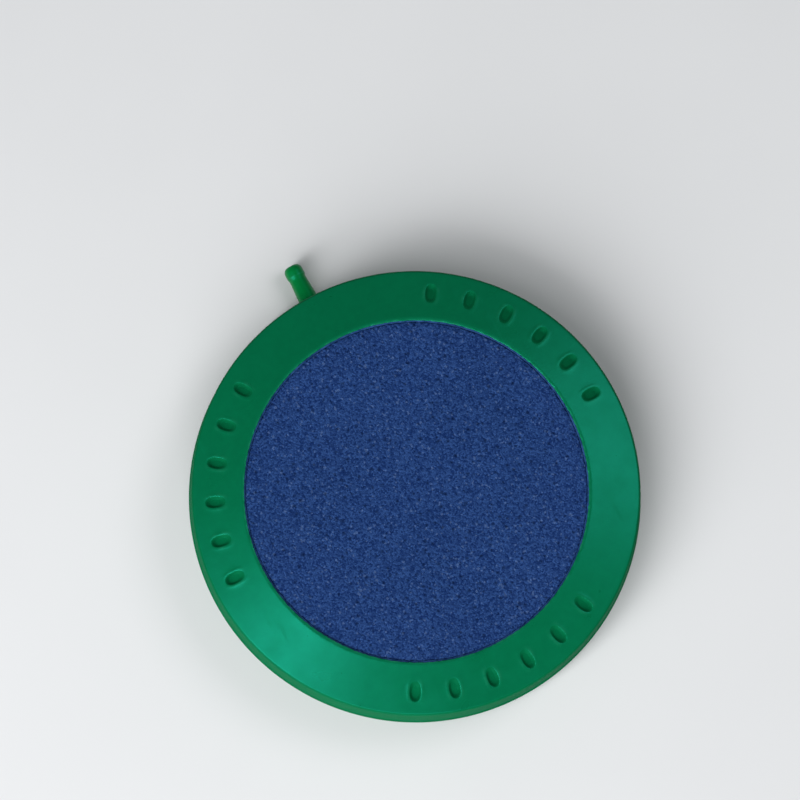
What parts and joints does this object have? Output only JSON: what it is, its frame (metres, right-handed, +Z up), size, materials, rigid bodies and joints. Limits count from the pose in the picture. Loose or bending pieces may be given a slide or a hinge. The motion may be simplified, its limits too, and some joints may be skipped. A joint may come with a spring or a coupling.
{
  "type": "air stone disc",
  "caption": "Round air stone: a two-shell green dish with a conical dimpled rim, a flat blue porous stone bonded in its top, and a barbed side inlet for airline hose.",
  "frame": {"origin": "centre of the resting face, on the disc's axis", "axes": "+Z up, out of the stone's face; +Y along the air inlet, pointing away from the disc; +X completes a right-handed frame"},
  "size_m": [0.125, 0.1363, 0.022],
  "materials": {
    "rim_plastic": "satin",
    "dish_plastic": "satin",
    "porous_stone": "matte",
    "sealant": "satin",
    "inlet_plastic": "satin"
  },
  "bodies": {
    "root": {"rim_ring": "rim_plastic", "base_dish": "dish_plastic", "porous_stone": "porous_stone", "stone_bond": "sealant", "rim_bond": "sealant", "chamber_bond": "sealant", "air_inlet": "inlet_plastic"}
  },
  "joints": []
}
